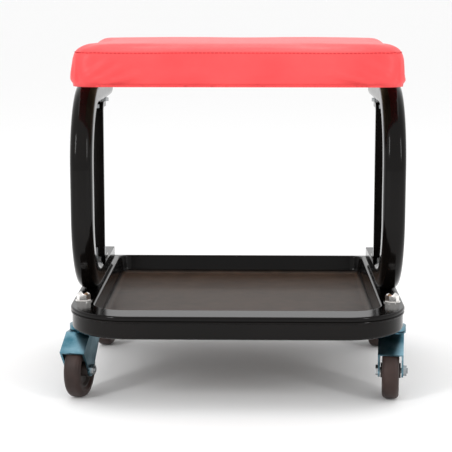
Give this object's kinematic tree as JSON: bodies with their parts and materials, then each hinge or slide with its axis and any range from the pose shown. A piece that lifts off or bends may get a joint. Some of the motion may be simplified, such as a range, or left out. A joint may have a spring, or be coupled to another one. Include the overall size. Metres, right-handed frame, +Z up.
{
  "type": "mechanic's creeper seat",
  "caption": "Rolling mechanic's seat: padded red seat on two bent-tube side frames over a shallow black tool tray that stands on swivel casters.",
  "frame": {"origin": "on the floor, under the middle of the tray", "axes": "+Z up, front towards -Y, +X to the right as seen from the front"},
  "size_m": [0.3758, 0.356, 0.3775],
  "materials": {
    "black_gloss_paint": "gloss",
    "black_plastic": "satin",
    "zinc_steel": "satin",
    "bright_steel": "polished",
    "blue_zinc": "satin",
    "plywood": "matte",
    "red_vinyl": "satin",
    "dark_plastic": "satin",
    "dark_rubber": "satin"
  },
  "bodies": {
    "frame": {"tray": "black_gloss_paint", "base_frame": "black_gloss_paint", "side_frame_left": "black_gloss_paint", "side_frame_right": "black_gloss_paint", "strut_left": "black_gloss_paint", "strut_right": "black_gloss_paint", "plugs_left": "black_plastic", "plugs_right": "black_plastic", "frame_bolts": "zinc_steel", "frame_nuts": "zinc_steel", "seat_board": "plywood", "seat_cushion": "red_vinyl", "seat_bolts": "zinc_steel", "board_nuts": "zinc_steel", "caster_sleeves": "zinc_steel", "stem_nuts": "bright_steel", "stem_front_left": "zinc_steel", "cup_front_left": "blue_zinc", "stem_front_right": "zinc_steel", "cup_front_right": "blue_zinc", "stem_rear_left": "zinc_steel", "cup_rear_left": "blue_zinc", "stem_rear_right": "zinc_steel", "cup_rear_right": "blue_zinc"},
    "caster_front_left": {"yoke_front_left": "blue_zinc", "balls_front_left": "bright_steel", "axle_front_left": "zinc_steel", "axle_nut_front_left": "zinc_steel"},
    "wheel_front_left": {"core_front_left": "dark_plastic", "tread_front_left": "dark_rubber"},
    "caster_front_right": {"yoke_front_right": "blue_zinc", "balls_front_right": "bright_steel", "axle_front_right": "zinc_steel", "axle_nut_front_right": "zinc_steel"},
    "wheel_front_right": {"core_front_right": "dark_plastic", "tread_front_right": "dark_rubber"},
    "caster_rear_left": {"yoke_rear_left": "blue_zinc", "balls_rear_left": "bright_steel", "axle_rear_left": "zinc_steel", "axle_nut_rear_left": "zinc_steel"},
    "wheel_rear_left": {"core_rear_left": "dark_plastic", "tread_rear_left": "dark_rubber"},
    "caster_rear_right": {"yoke_rear_right": "blue_zinc", "balls_rear_right": "bright_steel", "axle_rear_right": "zinc_steel", "axle_nut_rear_right": "zinc_steel"},
    "wheel_rear_right": {"core_rear_right": "dark_plastic", "tread_rear_right": "dark_rubber"}
  },
  "joints": [
    {"name": "swivel_front_left", "type": "hinge", "parent": "frame", "child": "caster_front_left", "pos_m": [-0.166, -0.1, 0.0695], "axis": [0, 0, 1], "continuous": true},
    {"name": "roll_front_left", "type": "hinge", "parent": "caster_front_left", "child": "wheel_front_left", "pos_m": [-0.16953, -0.11663, 0.03], "axis": [0.9781, -0.2079, 0], "continuous": true},
    {"name": "swivel_front_right", "type": "hinge", "parent": "frame", "child": "caster_front_right", "pos_m": [0.166, -0.1, 0.0695], "axis": [0, 0, 1], "continuous": true},
    {"name": "roll_front_right", "type": "hinge", "parent": "caster_front_right", "child": "wheel_front_right", "pos_m": [0.16422, -0.11691, 0.03], "axis": [0.9945, -0.1045, 0], "continuous": true},
    {"name": "swivel_rear_left", "type": "hinge", "parent": "frame", "child": "caster_rear_left", "pos_m": [-0.166, 0.1, 0.0695], "axis": [0, 0, 1], "continuous": true},
    {"name": "roll_rear_left", "type": "hinge", "parent": "caster_rear_left", "child": "wheel_rear_left", "pos_m": [-0.16422, 0.11691, 0.03], "axis": [-0.9945, 0.1045, 0], "continuous": true},
    {"name": "swivel_rear_right", "type": "hinge", "parent": "frame", "child": "caster_rear_right", "pos_m": [0.166, 0.1, 0.0695], "axis": [0, 0, 1], "continuous": true},
    {"name": "roll_rear_right", "type": "hinge", "parent": "caster_rear_right", "child": "wheel_rear_right", "pos_m": [0.16953, 0.11663, 0.03], "axis": [-0.9781, 0.2079, 0], "continuous": true}
  ]
}
